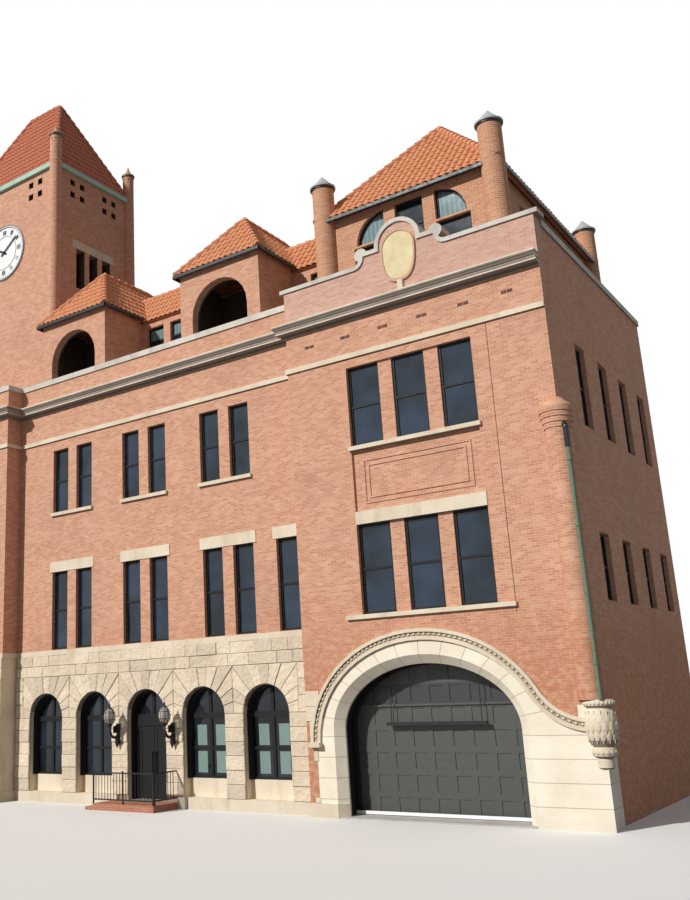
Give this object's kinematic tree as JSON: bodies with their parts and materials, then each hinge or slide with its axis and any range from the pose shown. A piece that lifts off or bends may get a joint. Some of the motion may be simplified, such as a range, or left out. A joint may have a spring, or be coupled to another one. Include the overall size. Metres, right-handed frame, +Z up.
{
  "type": "streetcar barn",
  "caption": "Brick and stone streetcar barn with a clock tower, arched garage entrance, curved gable and tiled hip roofs.",
  "frame": {"origin": "on the ground, midway along the street front and midway through the depth", "axes": "+Z up, +X along the street front towards the garage arch, -Y towards the street"},
  "size_m": [28.255, 11.25, 31.45],
  "materials": {
    "brick": "matt fired brick with thin joints",
    "paver_brick": "matt red brick",
    "roof_tile": "matt terracotta tile",
    "rough_limestone": "rock-faced",
    "smooth_limestone": "dressed",
    "cream_stone": "carved",
    "concrete": "trowelled",
    "glass": "clear, dark behind",
    "black_paint": "satin black",
    "black_metal": "gloss black",
    "white_paint": "satin white",
    "copper": "weathered copper",
    "lead": "dull sheet metal"
  },
  "bodies": {
    "building": {"front_wall_left": "rough_limestone", "front_wall_right": "rough_limestone", "wall_over_door": "rough_limestone", "tower_base_wall": "rough_limestone", "window_aprons": "smooth_limestone", "stone_plinth": "smooth_limestone", "garage_arch": "smooth_limestone", "arch_label_moulding": "smooth_limestone", "corner_console": "smooth_limestone", "pavilion_wall": "brick", "pavilion_gable": "brick", "wing_upper_wall": "brick", "tower_block_upper_wall": "brick", "side_wall_right": "brick", "side_wall_left": "brick", "rear_wall": "brick", "pavilion_base_wall": "brick", "stone_courses": "smooth_limestone", "main_cornice": "smooth_limestone", "parapet_coping": "smooth_limestone", "gable_coping": "smooth_limestone", "gable_plaque": "cream_stone", "window_lintels_sills": "smooth_limestone", "corner_shaft": "brick", "downspout": "black_metal", "ground_floor": "concrete", "upper_floors": "concrete", "ground_window_frames": "black_paint", "ground_window_glass": "glass", "upper_window_frames": "black_paint", "upper_window_glass": "glass", "garage_door": "black_paint", "garage_frame": "black_paint", "clearance_bar": "black_metal", "entrance_frame": "black_paint", "entrance_steps": "paver_brick", "entrance_railings": "black_metal", "wall_lanterns": "black_metal", "tower_walls": "brick", "corner_turrets": "brick", "turret_caps": "lead", "tower_cornice": "copper", "tower_roof": "roof_tile", "clock_dial": "white_paint", "loggia_walls": "brick", "loggia_roofs": "roof_tile", "attic_walls": "brick", "attic_roof": "roof_tile", "penthouse_walls": "brick", "penthouse_roof": "roof_tile"},
    "left_leaf": {"door_leaf_left": "black_paint"},
    "right_leaf": {"door_leaf_right": "black_paint"}
  },
  "joints": [
    {"name": "left_leaf_hinge", "type": "hinge", "parent": "building", "child": "left_leaf", "pos_m": [-1.44, -4.572, 1.345], "axis": [0, 0, 1], "range_deg": [0, 90]},
    {"name": "right_leaf_hinge", "type": "hinge", "parent": "building", "child": "right_leaf", "pos_m": [-0.1, -4.572, 1.345], "axis": [0, 0, -1], "range_deg": [0, 90]}
  ]
}
